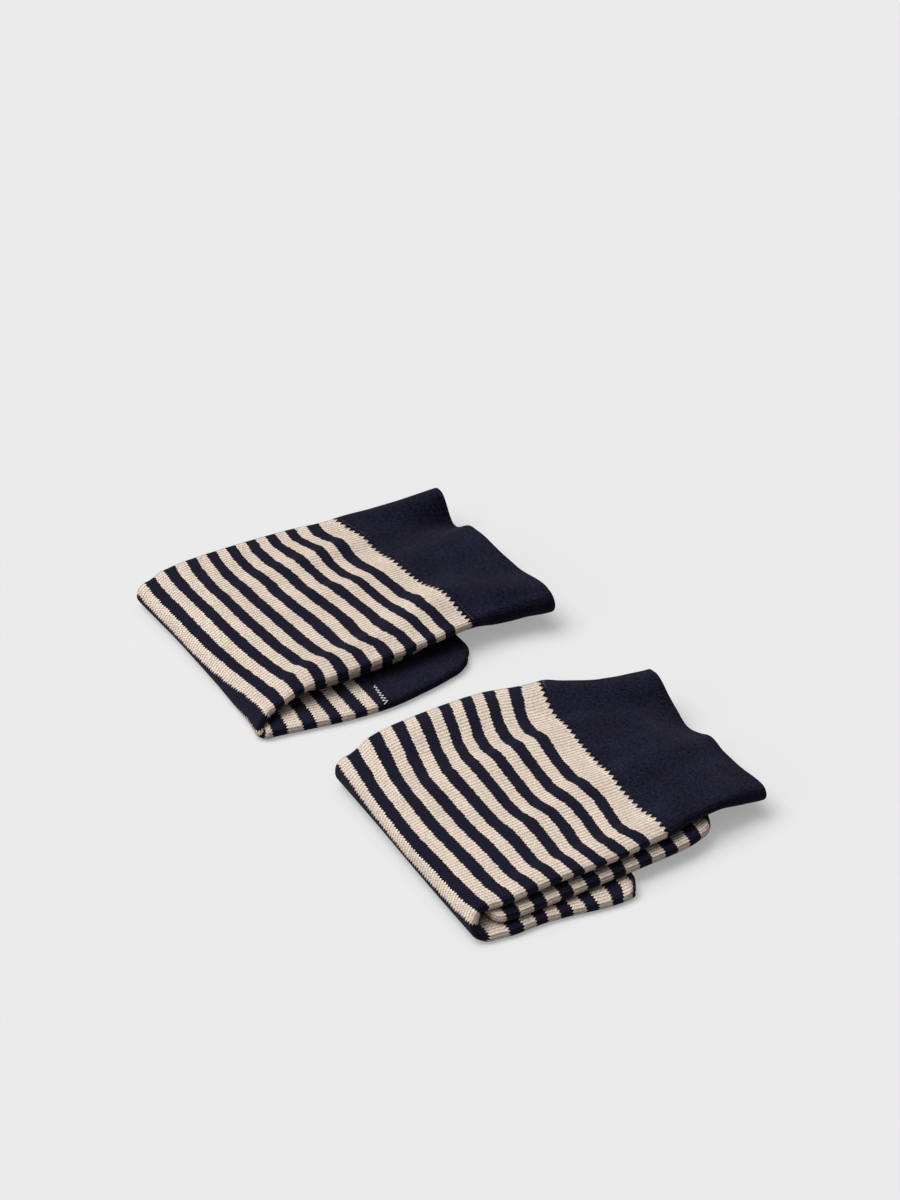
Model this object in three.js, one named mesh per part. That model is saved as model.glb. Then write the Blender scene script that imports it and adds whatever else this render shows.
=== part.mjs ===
import * as THREE from "three";

// A pair of long knitted socks, each folded back on itself and lying flat.
// Millimetres. X runs from each fold to its cuff, Y runs across the socks, Z is up.

const LEG_WALL = 1.5;
const LEG_HALF = 1.9;
const CUFF_WALL = 2.0;
const CUFF_HALF = 2.3;
const HEEL_WALL = 1.3;
const MIDDLE_X = 0.066;
const MIDDLE_Y = 0.886;
const FACE_POINTS = 15;
const ROLL_POINTS = 3;
const TURN_STEPS = 6;

// Each table's rows run along X. far and near are the outermost Y of the flattened tube,
// top is the height of its upper face, and slant is how far a row leans with Y.
// lead pushes the far edge of a row on towards the cuff.
const sock1 = {
  name: "sock_1",
  middleY: 68,
  leadY: 100,
  fold: { x: -67.0, crown: 9.0 },
  leg: [
    { x: -62.5, top: 9.0, far: 114.5, near: 27.0, slant: 0.085, lead: 0 },
    { x: -54.0, top: 10.6, far: 115.6, near: 28.6, slant: 0.12, lead: 0 },
    { x: -44.0, top: 11.8, far: 115.8, near: 28.8, slant: 0.13, lead: 0 },
    { x: -20.0, top: 12.0, far: 114.6, near: 28.2, slant: 0.16, lead: 0 },
    { x: 0.0, top: 12.2, far: 112.4, near: 28.2, slant: 0.19, lead: 0 },
    { x: 18.6, top: 12.6, far: 108.2, near: 28.8, slant: 0.19, lead: 0 },
  ],
  cuff: [
    { x: 19.1, top: 12.9, far: 108.0, near: 28.9, slant: 0.19, lead: 0, farHalf: 2.3, nearHalf: 2.3 },
    { x: 30.0, top: 12.9, far: 105.5, near: 28.2, slant: 0.16, lead: 0, farHalf: 2.5, nearHalf: 3.7 },
    { x: 42.0, top: 12.8, far: 103.5, near: 26.2, slant: 0.12, lead: 0, farHalf: 2.7, nearHalf: 4.7 },
    { x: 55.2, top: 12.8, far: 102.4, near: 23.4, slant: 0.09, lead: 0, farHalf: 2.9, nearHalf: 5.2 },
  ],
  under: [
    { x: -62.5, far: 113.8, near: 21.0, slant: 0.07 },
    { x: -50.0, far: 112.4, near: 18.6, slant: 0.05 },
    { x: -36.0, far: 109.4, near: 15.2, slant: 0.05 },
    { x: -18.7, far: 105.0, near: 13.6, slant: 0.05 },
  ],
  heel: [
    { x: -18.4, far: 105.0, near: 13.6, slant: 0.05, half: 1.9 },
    { x: -6.0, far: 103.0, near: 14.6, slant: 0.05, half: 1.9 },
    { x: 6.0, far: 99.5, near: 16.4, slant: 0.05, half: 1.9 },
    { x: 14.0, far: 94.0, near: 19.5, slant: 0.05, half: 1.9 },
    { x: 18.5, far: 87.5, near: 25.0, slant: 0.05, half: 1.8 },
    { x: 20.4, far: 80.0, near: 31.0, slant: 0.07, half: 1.65 },
    { x: 21.2, far: 73.0, near: 40.0, slant: 0.06, half: 1.5 },
  ],
  foot: [
    { x: -46.0, far: 96.0, near: 46.0 },
    { x: -43.0, far: 102.0, near: 36.0 },
    { x: -37.0, far: 105.0, near: 31.5 },
    { x: -10.0, far: 103.0, near: 30.6 },
    { x: 8.0, far: 100.0, near: 32.5 },
    { x: 14.0, far: 95.0, near: 38.0 },
    { x: 17.0, far: 88.0, near: 47.0 },
  ],
  footBase: 4.1,
  footTop: 7.1,
};

const sock2 = {
  name: "sock_2",
  middleY: -58,
  leadY: -30,
  fold: { x: -53.7, crown: 12.0 },
  leg: [
    { x: -47.7, top: 12.0, far: -10.4, near: -101.0, slant: 0.04, lead: 0 },
    { x: -38.0, top: 12.8, far: -7.4, near: -102.8, slant: 0.04, lead: 1.5 },
    { x: -20.0, top: 13.0, far: -7.4, near: -103.0, slant: 0.035, lead: 3.0 },
    { x: 5.0, top: 13.0, far: -8.4, near: -103.9, slant: 0.035, lead: 3.5 },
    { x: 25.1, top: 13.2, far: -13.8, near: -103.0, slant: 0.03, lead: 3.5 },
  ],
  cuff: [
    { x: 25.7, top: 13.5, far: -13.9, near: -103.0, slant: 0.03, lead: 3.5, farHalf: 2.3, nearHalf: 2.3 },
    { x: 37.0, top: 13.7, far: -18.7, near: -100.8, slant: 0.035, lead: 2.0, farHalf: 2.4, nearHalf: 2.3 },
    { x: 50.0, top: 13.6, far: -24.3, near: -100.0, slant: 0.05, lead: 0.5, farHalf: 2.6, nearHalf: 2.4 },
    { x: 59.0, top: 11.8, far: -26.5, near: -100.0, slant: 0.06, lead: 0, farHalf: 2.8, nearHalf: 3.2 },
    { x: 68.2, top: 10.4, far: -28.3, near: -100.4, slant: 0.06, lead: 0, farHalf: 2.9, nearHalf: 3.5 },
  ],
  under: [
    { x: -47.7, far: -11.0, near: -107.4, slant: 0.04 },
    { x: -38.0, far: -12.0, near: -108.8, slant: 0.03 },
    { x: -28.0, far: -12.6, near: -109.0, slant: 0.03 },
    { x: -20.0, far: -13.0, near: -110.2, slant: 0.03 },
    { x: 2.0, far: -14.0, near: -114.0, slant: 0.03 },
  ],
  heel: [
    { x: 2.3, far: -14.0, near: -114.0, slant: 0.03, half: 1.9 },
    { x: 5.0, far: -16.0, near: -113.8, slant: 0.03, half: 1.9 },
    { x: 7.4, far: -19.0, near: -111.6, slant: 0.03, half: 1.9 },
    { x: 8.8, far: -25.0, near: -104.0, slant: 0.03, half: 1.8 },
    { x: 10.0, far: -33.0, near: -93.0, slant: 0.03, half: 1.6 },
  ],
  foot: [
    { x: -42.6, far: -24.0, near: -96.0 },
    { x: -41.4, far: -17.0, near: -102.2 },
    { x: -38.0, far: -13.0, near: -105.4 },
    { x: -20.0, far: -12.0, near: -106.2 },
    { x: 10.0, far: -15.0, near: -106.4 },
    { x: 30.0, far: -18.0, near: -106.2 },
    { x: 39.0, far: -22.0, near: -105.0 },
    { x: 46.0, far: -28.0, near: -101.6 },
    { x: 49.5, far: -36.0, near: -95.0 },
  ],
  footBase: 4.1,
  footTop: 8.3,
};

// Soft folds of the upper face. Each is a line of places along X, with its height and its
// reach towards the far side and towards the near side.
const folds1 = {
  nearRidge: [
    { x: -60, y: 34, height: 0, farReach: 6, nearReach: 8 },
    { x: -45, y: 37, height: 1.5, farReach: 6, nearReach: 9 },
    { x: -15, y: 40, height: 1.6, farReach: 7, nearReach: 10 },
    { x: 20, y: 46, height: 3.4, farReach: 14, nearReach: 14 },
    { x: 56, y: 31, height: 3.0, farReach: 18, nearReach: 8 },
  ],
  middleRidge: [
    { x: -50, y: 76, height: 0, farReach: 7, nearReach: 10 },
    { x: -20, y: 74, height: 0.9, farReach: 7, nearReach: 10 },
    { x: 0, y: 71, height: 1.4, farReach: 7, nearReach: 10 },
    { x: 20, y: 74, height: 0.8, farReach: 8, nearReach: 12 },
    { x: 56, y: 70, height: 0.8, farReach: 10, nearReach: 12 },
  ],
  farRidge: [
    { x: -55, y: 88, height: 0, farReach: 8, nearReach: 10 },
    { x: -20, y: 92, height: 1.1, farReach: 7, nearReach: 9 },
    { x: 5, y: 93, height: 1.5, farReach: 6, nearReach: 8 },
    { x: 19, y: 94, height: 0.8, farReach: 6, nearReach: 8 },
    { x: 34, y: 96, height: 0, farReach: 6, nearReach: 8 },
  ],
  cuffValley: [
    { x: -12, y: 84, height: 0, farReach: 6, nearReach: 8 },
    { x: 3, y: 84, height: -0.6, farReach: 6, nearReach: 8 },
    { x: 20, y: 85, height: -1.0, farReach: 8, nearReach: 12 },
    { x: 40, y: 87, height: -3.6, farReach: 9, nearReach: 14 },
    { x: 54, y: 89, height: -6.8, farReach: 9, nearReach: 12 },
  ],
  raisedEdge: [
    { x: -10, y: 108, height: 0, farReach: 12, nearReach: 9 },
    { x: 19, y: 103, height: 1.2, farReach: 12, nearReach: 10 },
    { x: 38, y: 101, height: 2.8, farReach: 12, nearReach: 10 },
    { x: 54, y: 99, height: 4.0, farReach: 12, nearReach: 9 },
  ],
};

const folds2 = {
  farRidge: [
    { x: -50, y: -14, height: 0, farReach: 14, nearReach: 12 },
    { x: -30, y: -13, height: 2.2, farReach: 14, nearReach: 14 },
    { x: 0, y: -14, height: 2.8, farReach: 14, nearReach: 14 },
    { x: 26, y: -19, height: 2.8, farReach: 14, nearReach: 14 },
    { x: 48, y: -29, height: 3.2, farReach: 12, nearReach: 13 },
    { x: 68, y: -33, height: 6.8, farReach: 12, nearReach: 13 },
  ],
  secondRidge: [
    { x: -48, y: -42, height: 0, farReach: 8, nearReach: 14 },
    { x: -20, y: -40, height: 1.0, farReach: 6, nearReach: 14 },
    { x: 5, y: -39, height: 1.5, farReach: 6, nearReach: 14 },
    { x: 26, y: -38, height: 1.2, farReach: 6, nearReach: 14 },
    { x: 46, y: -42, height: 0, farReach: 8, nearReach: 14 },
  ],
  thirdRidge: [
    { x: -45, y: -76, height: 0, farReach: 8, nearReach: 12 },
    { x: -5, y: -72, height: 1.0, farReach: 8, nearReach: 10 },
    { x: 18, y: -68, height: 1.5, farReach: 8, nearReach: 10 },
    { x: 45, y: -68, height: 1.4, farReach: 8, nearReach: 9 },
    { x: 68, y: -68, height: 1.4, farReach: 7, nearReach: 7 },
  ],
  nearRidge: [
    { x: -46, y: -97, height: 0, farReach: 6, nearReach: 9 },
    { x: -20, y: -97, height: 1.0, farReach: 6, nearReach: 9 },
    { x: 20, y: -96, height: 1.4, farReach: 7, nearReach: 9 },
    { x: 45, y: -94, height: 0.6, farReach: 12, nearReach: 10 },
    { x: 68, y: -96, height: 1.6, farReach: 14, nearReach: 10 },
  ],
  cuffValley: [
    { x: 50, y: -51, height: 0, farReach: 10, nearReach: 14 },
    { x: 60, y: -52, height: -2.4, farReach: 10, nearReach: 14 },
    { x: 68, y: -53, height: -4.2, farReach: 10, nearReach: 14 },
  ],
};

// A named column of a table, read smoothly between its rows.
function column(table, key, x) {
  const last = table.length - 1;
  if (x <= table[0].x) return table[0][key];
  if (x >= table[last].x) return table[last][key];
  let i = 0;
  while (table[i + 1].x < x) i += 1;
  const slope = (a, b) => (table[b][key] - table[a][key]) / (table[b].x - table[a].x);
  const width = table[i + 1].x - table[i].x;
  const t = (x - table[i].x) / width;
  const mid = slope(i, i + 1);
  const start = i > 0 && slope(i - 1, i) * mid > 0 ? (slope(i - 1, i) + mid) / 2 : 0;
  const end = i + 2 <= last && slope(i + 1, i + 2) * mid > 0 ? (slope(i + 1, i + 2) + mid) / 2 : 0;
  const limit = 2.5 * Math.abs(mid);
  const m0 = Math.sign(start) * Math.min(Math.abs(start), limit) * width;
  const m1 = Math.sign(end) * Math.min(Math.abs(end), limit) * width;
  const t2 = t * t;
  const t3 = t2 * t;
  const a = table[i][key] * (2 * t3 - 3 * t2 + 1) + m0 * (t3 - 2 * t2 + t);
  return a + table[i + 1][key] * (3 * t2 - 2 * t3) + m1 * (t3 - t2);
}

function relief(folds, x, y) {
  let sum = 0;
  for (const line of Object.values(folds)) {
    const away = y - column(line, "y", x);
    const reach = column(line, away > 0 ? "farReach" : "nearReach", x);
    const share = Math.min(1, Math.abs(away) / reach);
    sum += column(line, "height", x) * Math.cos((Math.PI / 2) * share) ** 2;
  }
  return sum;
}

function smooth(t) {
  const s = Math.min(1, Math.max(0, t));
  return s * s * (3 - 2 * s);
}

// One ring round a flattened tube: its upper face from far to near, the near roll,
// the lower face back to far, and the far roll. Each entry is a Y, a share of the
// thickness from -1 to 1, and the Y whose fold height it takes.
function ringPlan(far, near, farRadius, nearRadius, farInset, nearInset) {
  const plan = [];
  const start = far - farInset;
  const end = near + nearInset;
  const turn = (i) => Math.PI / 2 - (Math.PI * (i + 1)) / (ROLL_POINTS + 1);
  for (let i = 0; i < FACE_POINTS; i += 1) {
    const y = start + ((end - start) * i) / (FACE_POINTS - 1);
    plan.push({ y, level: 1, base: y });
  }
  for (let i = 0; i < ROLL_POINTS; i += 1) {
    plan.push({ y: end - nearRadius * Math.cos(turn(i)), level: Math.sin(turn(i)), base: end });
  }
  for (let i = FACE_POINTS - 1; i >= 0; i -= 1) {
    const y = start + ((end - start) * i) / (FACE_POINTS - 1);
    plan.push({ y, level: -1, base: y });
  }
  for (let i = ROLL_POINTS - 1; i >= 0; i -= 1) {
    plan.push({ y: start + farRadius * Math.cos(turn(i)), level: Math.sin(turn(i)), base: start });
  }
  return plan;
}

// A place on the tube: its station gives the middle of the cloth, the direction the
// upper face looks in, and how the row leans. half is the layer's own half thickness and
// full the whole tube's there, so that an opened roll keeps its upper face.
function place(sock, station, entry, half, full) {
  const leanY = entry.base - sock.middleY;
  const span = station.far - sock.leadY;
  const ahead = Math.max(0, (entry.base - sock.leadY) / span);
  const lean = -station.slant * leanY + station.lead * ahead * ahead;
  const lift = station.folds ? relief(station.folds, station.x, entry.base) * station.foldShare : 0;
  const away = entry.level * half - (full - station.half) + lift;
  const x = station.x + lean - Math.sin(station.angle) * away;
  const z = station.z + Math.cos(station.angle) * away;
  return [x - MIDDLE_X, entry.y - MIDDLE_Y, z];
}

// Half the thickness across a cuff that opens a little at its edges.
function halfAt(station, y) {
  const width = station.far - station.near;
  const nearShare = smooth(1 - (y - station.near) / (0.3 * width));
  const farShare = smooth(1 - (station.far - y) / (0.22 * width));
  const near = (station.nearHalf - station.half) * nearShare;
  return station.half + near + (station.farHalf - station.half) * farShare;
}

function outerRing(sock, station) {
  const inset = [station.farHalf, station.nearHalf];
  const plan = ringPlan(station.far, station.near, inset[0], inset[1], inset[0], inset[1]);
  return plan.map((entry) => {
    const full = halfAt(station, entry.base);
    return place(sock, station, entry, full, full);
  });
}

function innerRing(sock, station, wall) {
  const radius = [station.farHalf - wall, station.nearHalf - wall];
  const plan = ringPlan(station.far, station.near, radius[0], radius[1], station.farHalf, station.nearHalf);
  return plan.map((entry) => {
    const full = halfAt(station, entry.base);
    return place(sock, station, entry, full - wall, full);
  });
}

// Closes rings into one solid. A ring list is skinned along its length. An open end
// joins the outer ring to the inner one; a closed end is covered face to face.
function skin(faces, rings, offset, outward) {
  const n = rings[0].length;
  for (let i = 0; i + 1 < rings.length; i += 1) {
    for (let j = 0; j < n; j += 1) {
      const k = (j + 1) % n;
      const a = offset + i * n + j;
      const b = offset + i * n + k;
      const c = a + n;
      const d = b + n;
      if (outward) faces.push(a, b, c, b, d, c);
      else faces.push(a, c, b, b, c, d);
    }
  }
}

function coverEnd(faces, start, n, flip) {
  const far = FACE_POINTS - 1;
  const add = (a, b, c) => (flip ? faces.push(a, c, b) : faces.push(a, b, c));
  const partner = (i) => start + 2 * FACE_POINTS + ROLL_POINTS - 1 - i;
  for (let i = 0; i < far; i += 1) {
    add(start + i, partner(i), start + i + 1);
    add(start + i + 1, partner(i), partner(i + 1));
  }
  const nearFirst = start + FACE_POINTS;
  for (let i = 0; i < ROLL_POINTS; i += 1) {
    const previous = i === 0 ? start + far : nearFirst + i - 1;
    add(previous, partner(far), nearFirst + i);
  }
  const farFirst = start + 2 * FACE_POINTS + ROLL_POINTS;
  for (let i = 0; i < ROLL_POINTS; i += 1) {
    const previous = i === 0 ? partner(0) : farFirst + i - 1;
    add(previous, start, farFirst + i);
  }
  return n;
}

function joinEnds(faces, a, b, n, flip) {
  for (let j = 0; j < n; j += 1) {
    const k = (j + 1) % n;
    if (flip) faces.push(a + j, b + j, a + k, a + k, b + j, b + k);
    else faces.push(a + j, a + k, b + j, a + k, b + k, b + j);
  }
}

function solid(name, outer, inner, closedEnd, material) {
  const n = outer[0].length;
  const faces = [];
  const outerStart = 0;
  const innerStart = outer.length * n;
  skin(faces, outer, outerStart, false);
  const outerLast = (outer.length - 1) * n;
  if (inner.length > 0) {
    skin(faces, inner, innerStart, true);
    joinEnds(faces, outerStart, innerStart, n, false);
    const innerLast = innerStart + (inner.length - 1) * n;
    if (closedEnd) {
      coverEnd(faces, outerLast, n, false);
      coverEnd(faces, innerLast, n, true);
    } else {
      joinEnds(faces, outerLast, innerLast, n, true);
    }
  } else {
    coverEnd(faces, outerStart, n, true);
    coverEnd(faces, outerLast, n, false);
  }
  const geometry = new THREE.BufferGeometry();
  const places = outer.concat(inner).flat(2);
  geometry.setAttribute("position", new THREE.Float32BufferAttribute(places, 3));
  geometry.setIndex(faces);
  geometry.computeVertexNormals();
  const mesh = new THREE.Mesh(geometry, material);
  mesh.name = name;
  return mesh;
}

function knit(colour) {
  return new THREE.MeshStandardMaterial({ color: colour, roughness: 0.9, metalness: 0 });
}

// Stations of the leg: back along the upper run from the cuff, round the fold, and out
// along the lower run to the heel.
function legStations(sock, folds) {
  const stations = [];
  const start = sock.leg[sock.leg.length - 1].x;
  const turnX = sock.leg[0].x;
  const upperSteps = 15;
  const spread = (table, x) => ({
    far: column(table, "far", x),
    near: column(table, "near", x),
    slant: column(table, "slant", x),
  });
  for (let i = 0; i <= upperSteps; i += 1) {
    const x = start + ((turnX - start) * i) / upperSteps;
    const foldShare = smooth((x - turnX) / 14);
    const z = column(sock.leg, "top", x) - LEG_HALF;
    const lead = column(sock.leg, "lead", x);
    stations.push({ x, z, angle: 0, lead, folds, foldShare, ...spread(sock.leg, x) });
  }
  const radius = sock.fold.crown / 2 - LEG_HALF;
  const top = spread(sock.leg, turnX);
  const bottom = spread(sock.under, turnX);
  for (let i = 1; i <= TURN_STEPS; i += 1) {
    const share = i / TURN_STEPS;
    const angle = Math.PI * share;
    const mix = (key) => top[key] + (bottom[key] - top[key]) * share;
    const x = turnX - radius * Math.sin(angle);
    const z = sock.fold.crown / 2 + radius * Math.cos(angle);
    const sides = { far: mix("far"), near: mix("near"), slant: mix("slant") };
    stations.push({ x, z, angle, lead: 0, folds: null, foldShare: 0, ...sides });
  }
  const end = sock.under[sock.under.length - 1].x;
  const lowerSteps = 4;
  for (let i = 1; i <= lowerSteps; i += 1) {
    const x = turnX + ((end - turnX) * i) / lowerSteps;
    const sides = spread(sock.under, x);
    stations.push({ x, z: LEG_HALF, angle: Math.PI, lead: 0, folds: null, foldShare: 0, ...sides });
  }
  return stations.map((s) => ({ half: LEG_HALF, farHalf: LEG_HALF, nearHalf: LEG_HALF, ...s }));
}

function leg(sock, folds) {
  const stations = legStations(sock, folds);
  const outer = stations.map((s) => outerRing(sock, s));
  const inner = stations.map((s) => innerRing(sock, s, LEG_WALL));
  return solid(`${sock.name}_leg`, outer, inner, false, knit(0xd8c4a4));
}

// The cuff: a doubled band, open at the end that the foot goes in at.
function cuff(sock, folds) {
  const first = sock.cuff[0].x;
  const last = sock.cuff[sock.cuff.length - 1].x;
  const steps = 9;
  const stations = [];
  for (let i = steps; i >= 0; i -= 1) {
    const x = first + ((last - first) * i) / steps;
    const read = (key) => column(sock.cuff, key, x);
    const z = read("top") - CUFF_HALF;
    const sides = { far: read("far"), near: read("near"), slant: read("slant"), lead: read("lead") };
    const rolls = { farHalf: read("farHalf"), nearHalf: read("nearHalf"), half: CUFF_HALF };
    stations.push({ x, z, angle: 0, folds, foldShare: 1, ...sides, ...rolls });
  }
  const outer = stations.map((s) => outerRing(sock, s));
  const inner = stations.map((s) => innerRing(sock, s, CUFF_WALL));
  return solid(`${sock.name}_cuff`, outer, inner, false, knit(0x1c1c30));
}

// The heel: a flattened pouch with a rounded end, open towards the leg.
function heel(sock) {
  const first = sock.heel[0].x;
  const last = sock.heel[sock.heel.length - 1].x;
  const steps = 7;
  const station = (x) => {
    const read = (key) => column(sock.heel, key, x);
    const half = read("half");
    const sides = { far: read("far"), near: read("near"), slant: read("slant") };
    const rolls = { half, farHalf: half, nearHalf: half };
    return { x, z: half, angle: Math.PI, lead: 0, folds: null, foldShare: 0, ...sides, ...rolls };
  };
  const outer = [];
  const inner = [];
  for (let i = 0; i <= steps; i += 1) {
    const share = Math.sin((Math.PI * i) / (2 * steps));
    outer.push(outerRing(sock, station(first + (last - first) * share)));
    const reach = last - first - LEG_WALL;
    inner.push(innerRing(sock, station(first + reach * share), HEEL_WALL));
  }
  return solid(`${sock.name}_heel`, outer, inner, true, knit(0x1c1c30));
}

// The foot and toe: hidden between the runs, so its two plies are one rounded solid with
// a groove round its edges where they part.
function foot(sock) {
  const first = sock.foot[0].x;
  const last = sock.foot[sock.foot.length - 1].x;
  const steps = 12;
  const half = (sock.footTop - sock.footBase) / 2;
  const middle = (sock.footTop + sock.footBase) / 2;
  const ply = half / 2;
  const grooveDepth = 0.9;
  const rings = [];
  for (let i = 0; i <= steps; i += 1) {
    const share = (1 - Math.cos((Math.PI * i) / steps)) / 2;
    const x = last + (first - last) * share;
    const far = column(sock.foot, "far", x) - ply;
    const near = column(sock.foot, "near", x) + ply;
    const ring = [];
    const faceY = (k) => far + ((near - far) * k) / (FACE_POINTS - 1);
    for (let k = 0; k < FACE_POINTS; k += 1) ring.push([x, faceY(k), middle + half]);
    ring.push([x, near - ply, middle + ply]);
    ring.push([x, near - ply + grooveDepth, middle]);
    ring.push([x, near - ply, middle - ply]);
    for (let k = FACE_POINTS - 1; k >= 0; k -= 1) ring.push([x, faceY(k), middle - half]);
    ring.push([x, far + ply, middle - ply]);
    ring.push([x, far + ply - grooveDepth, middle]);
    ring.push([x, far + ply, middle + ply]);
    rings.push(ring.map((p) => [p[0] - MIDDLE_X, p[1] - MIDDLE_Y, p[2]]));
  }
  return solid(`${sock.name}_foot`, rings, [], true, knit(0xc9b594));
}

const pair = new THREE.Group();
pair.name = "pair_of_socks";
for (const [sock, folds] of [[sock1, folds1], [sock2, folds2]]) {
  pair.add(cuff(sock, folds));
  pair.add(leg(sock, folds));
  pair.add(heel(sock));
  pair.add(foot(sock));
}

export default pair;
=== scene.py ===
import math

import bmesh
import bpy
import numpy as np
from bpy.props import FloatProperty, FloatVectorProperty, IntProperty, PointerProperty
from bpy.types import Operator, Panel, PropertyGroup
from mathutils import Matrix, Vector


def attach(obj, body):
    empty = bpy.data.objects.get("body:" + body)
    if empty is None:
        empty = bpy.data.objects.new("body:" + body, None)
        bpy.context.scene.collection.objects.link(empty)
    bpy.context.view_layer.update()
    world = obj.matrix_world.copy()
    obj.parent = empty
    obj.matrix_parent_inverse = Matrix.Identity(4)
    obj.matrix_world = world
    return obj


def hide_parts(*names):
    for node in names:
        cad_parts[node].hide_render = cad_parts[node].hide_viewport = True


bl_info = {
    "name": "Pair of striped socks",
    "version": (1, 0, 0),
    "blender": (4, 5, 0),
    "location": "3D View > Sidebar > Socks",
    "description": "Knits a folded pair of striped socks round their packed solids",
    "category": "Add Mesh",
}

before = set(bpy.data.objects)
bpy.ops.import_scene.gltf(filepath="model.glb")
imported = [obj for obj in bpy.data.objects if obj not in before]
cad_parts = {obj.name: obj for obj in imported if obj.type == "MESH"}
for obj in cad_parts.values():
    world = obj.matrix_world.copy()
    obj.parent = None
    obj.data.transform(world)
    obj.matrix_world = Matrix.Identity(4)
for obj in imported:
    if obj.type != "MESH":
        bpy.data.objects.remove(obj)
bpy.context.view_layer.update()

MM = 0.001

# The socks are drawn in millimetres about a corner of the table. This is the middle of the
# pair there, and the frame has it at its origin.
MIDDLE = np.array((0.066, 0.886, 0.0))

UV_NAME = "Knit"

# Half the thickness of a flattened tube: two plies of knit and the air between them.
LEG_HALF = 1.9
CUFF_HALF = 2.3

# Stands in for a thickness of nothing at a closed end, because the tube divides by it.
THINNEST = 1e-6

# Shares of a cuff's width over which its two edges open.
NEAR_FLARE = 0.3
FAR_FLARE = 0.22

# How far a leg runs on under its cuff, and how much narrower it is there.
LEG_TUCK = 2.2
TUCKED_FAR = 0.9
TUCKED_NEAR = 0.5

# How far the waves of a leg's border with its cuff, and with its heel, reach to both sides.
BORDER_REACH = 9.0
HEEL_REACH = 12.0

# The soft folds of a leg grow to their height over this distance from where it turns back.
FOLDS_RISE = 14.0

# The foot of a fold is pushed out in full this far round the turn, and eases off over this
# length of the lower run.
LEAN_TURN = 0.75 * math.pi
LEAN_LENGTH = 34.0

# A cuff and a heel start a little past their borders with the leg.
CUFF_START = 0.5
HEEL_START = 0.1

# A cuff's girth is measured at this place.
CUFF_GIRTH_AT = 40.0

# A cuff's cloth is thin at the hem, where it lies over the leg, and thickens past it. The hem
# has a tooth for every two wales.
HEM_CLOTH = 0.35
HEM_LENGTH = 3.4
HEM_RISE = 2.2
TOOTH_LENGTH = 1.7
TOOTH_POINT = 1.2
TOOTH_REACH = 2.1

# Radius of the rounded end of a heel.
HEEL_END = 1.8

# The grooves between wales fade out before a closed end, and stop short of it.
PLAIN_END = 0.6
GROOVE_FADE = 1.5

# The thread beside a heel: its stitches, its radius and how far it stands out of the knit.
THREAD_STITCHES = 14
THREAD_RADIUS = 0.16
THREAD_OUT = 0.12

# Rows along each piece, on its outer face and on its inner one. A leg's are those of its
# upper run, its turn and its lower run. A cuff has as many on both faces, and round its lip
# it has a row at each of these angles.
LEG_ROWS = ((62, 12, 30), (30, 9, 14))
HEEL_ROWS = (44, 24)
FOOT_ROWS = (70, 28)
CUFF_ROWS = 34
LIP_TURN = np.radians((30, 60, 90))

# Points across a wale.
WALE_POINTS = 4
FOOT_WALE_POINTS = 3

# Length of one cream and one navy stripe together.
STRIPE_PAIR = 9.0

# Where each light stands, and the angle that the two lights with no setting for it cover.
KEY_FROM = (-0.6, 0.6, 1.6)
TOP_FROM = (-0.2, 0.2, 1.0)
SIDE_FROM = (-1.0, 0.1, 0.25)
TOP_SPREAD = math.radians(70)
SIDE_SPREAD = math.radians(50)

# What the camera looks at, in the millimetres that the socks are drawn in.
CAMERA_TARGET = (32.5, 57.0, 0.0)

# The table top lies a hair below the socks, in metres.
FLOOR_HEIGHT = -0.0001


class Rows:
    """A table along X with named columns, read smoothly between its rows."""

    # At a row the curve is at most this many times as steep as the line beside it.
    STEEPEST = 2.5

    def __init__(self, names, *rows):
        self.cells = {name: np.array(cells, float) for name, cells in zip(names.split(), zip(*rows))}

    def ends(self):
        return self.cells["x"][0], self.cells["x"][-1]

    def read(self, name, x):
        knots = self.cells["x"]
        values = self.cells[name]
        x = np.clip(np.asarray(x, float), knots[0], knots[-1])
        i = np.clip(np.searchsorted(knots, x) - 1, 0, len(knots) - 2)
        slope = np.diff(values) / np.diff(knots)
        before = np.concatenate(([0.0], slope[:-1]))
        after = np.concatenate((slope[1:], [0.0]))
        start = self.eased(before, slope)[i]
        end = self.eased(after, slope)[i]
        width = np.diff(knots)[i]
        t = (x - knots[i]) / width
        rise = 3 * t**2 - 2 * t**3
        bend = start * (t**3 - 2 * t**2 + t) + end * (t**3 - t**2)
        return values[i] * (1 - rise) + values[i + 1] * rise + bend * width

    @staticmethod
    def eased(beside, slope):
        limit = Rows.STEEPEST * np.abs(slope)
        mean = np.clip((beside + slope) / 2, -limit, limit)
        return np.where(beside * slope > 0, mean, 0)


LEG_COLUMNS = "x top far near slant lead"
CUFF_COLUMNS = "x top far near slant lead far_half near_half"
UNDER_COLUMNS = "x far near slant"
HEEL_COLUMNS = "x far near slant half"
FOOT_COLUMNS = "x far near"
FOLD_COLUMNS = "x y height far_reach near_reach"

# How far the stripes run ahead of their table, for shares of the way from the far edge to the
# near one. The columns stand at these places along the upper run. The first one's drift grows
# from a place below the fold, over a short length.
DRIFT_COLUMNS = "x at_fold second third at_cuff"
DRIFT_PLACES = (0.0, 24.0, 46.0, 66.0)
DRIFT_START = -16.0
DRIFT_RISE = 8.0

# Up to this share of a leg's width the stripes follow the far column of their table, and over
# the next share they pass to the near one.
FAR_COLUMN_SHARE = 0.3
PASSING_SHARE = 0.55


class Sock:
    """The outlines of one folded sock, in rows like those of its solids."""

    def __init__(self, **parts):
        self.__dict__.update(parts)


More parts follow.
